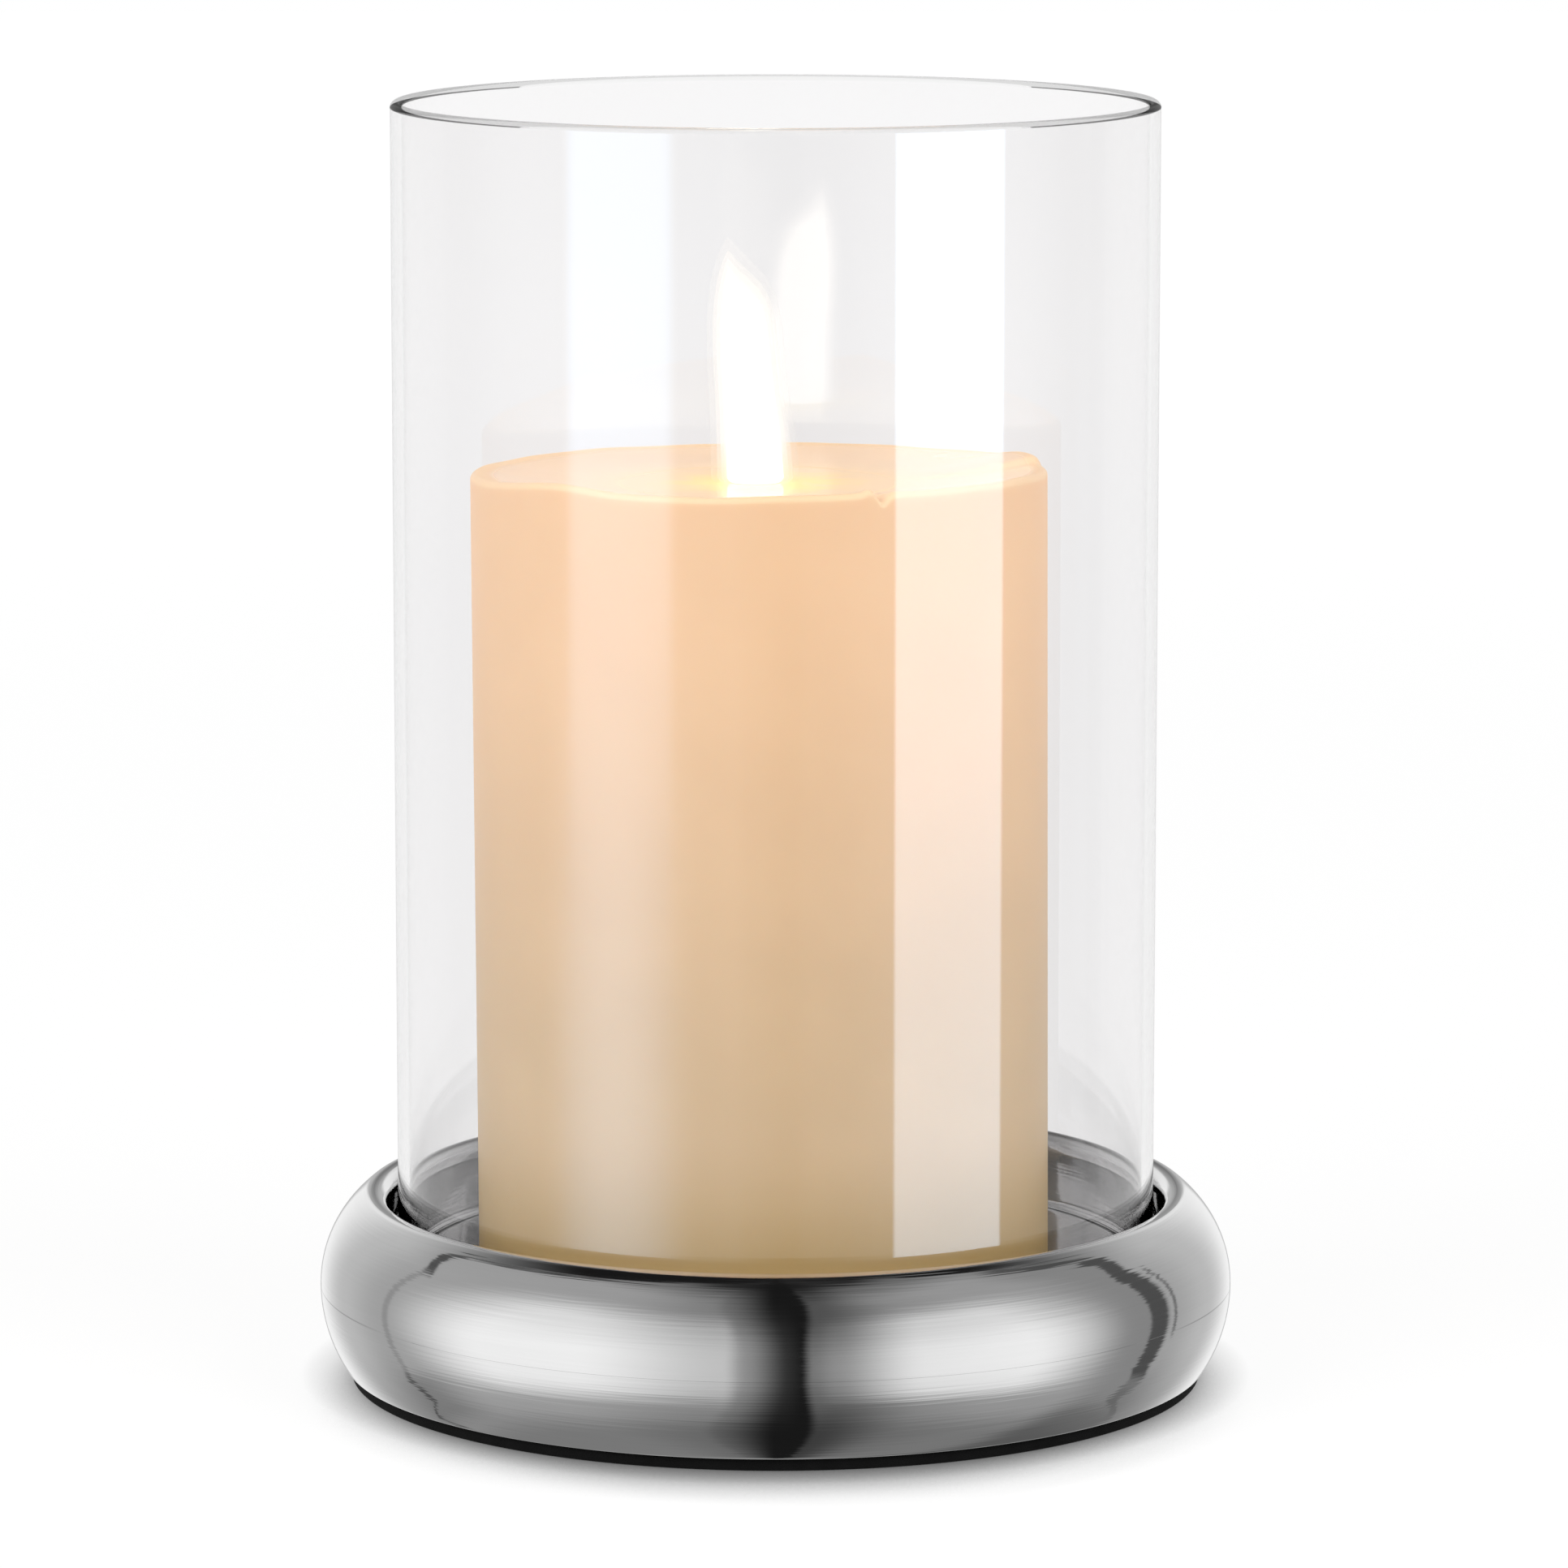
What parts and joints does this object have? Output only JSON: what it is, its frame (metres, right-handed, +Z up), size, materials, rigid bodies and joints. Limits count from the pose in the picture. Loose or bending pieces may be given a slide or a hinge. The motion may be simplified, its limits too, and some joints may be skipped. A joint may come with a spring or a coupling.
{
  "type": "hurricane candle lantern",
  "caption": "Hurricane lantern: a polished pressed-steel dish base with a rounded rim, a clear open glass cylinder that stands in the dish, and a lit pillar candle inside the glass.",
  "frame": {"origin": "middle of the foam pad's underside, on the surface that the lantern stands on", "axes": "+Z up along the glass cylinder's axis, +X to the right and -Y towards the viewer of the picture"},
  "size_m": [0.16, 0.16, 0.2235],
  "materials": {
    "polished_steel": "stainless sheet, spun and polished bright, fine circular polishing lines",
    "black_foam": "matt black closed-cell foam",
    "clear_glass": "clear, smooth, fire-polished rim",
    "ivory_wax": "ivory wax, smooth and slightly translucent",
    "liquid_wax": "melted wax, wet and clear",
    "cotton_wick": "plaited cotton, charred at the tip",
    "tin_plate": "bright tin plate"
  },
  "bodies": {
    "base": {"base_upper_shell": "polished_steel", "base_lower_shell": "polished_steel", "base_pad": "black_foam"},
    "glass": {"glass_cylinder": "clear_glass"},
    "candle": {"candle_wax": "ivory_wax", "melted_wax": "liquid_wax", "candle_wick": "cotton_wick", "wick_tab": "tin_plate"}
  },
  "joints": [
    {"name": "glass_lift", "type": "slide", "parent": "base", "child": "glass", "axis": [0, 0, 1], "range_m": [0, 0.2]},
    {"name": "candle_lift", "type": "slide", "parent": "base", "child": "candle", "axis": [0, 0, 1], "range_m": [0, 0.215]}
  ]
}
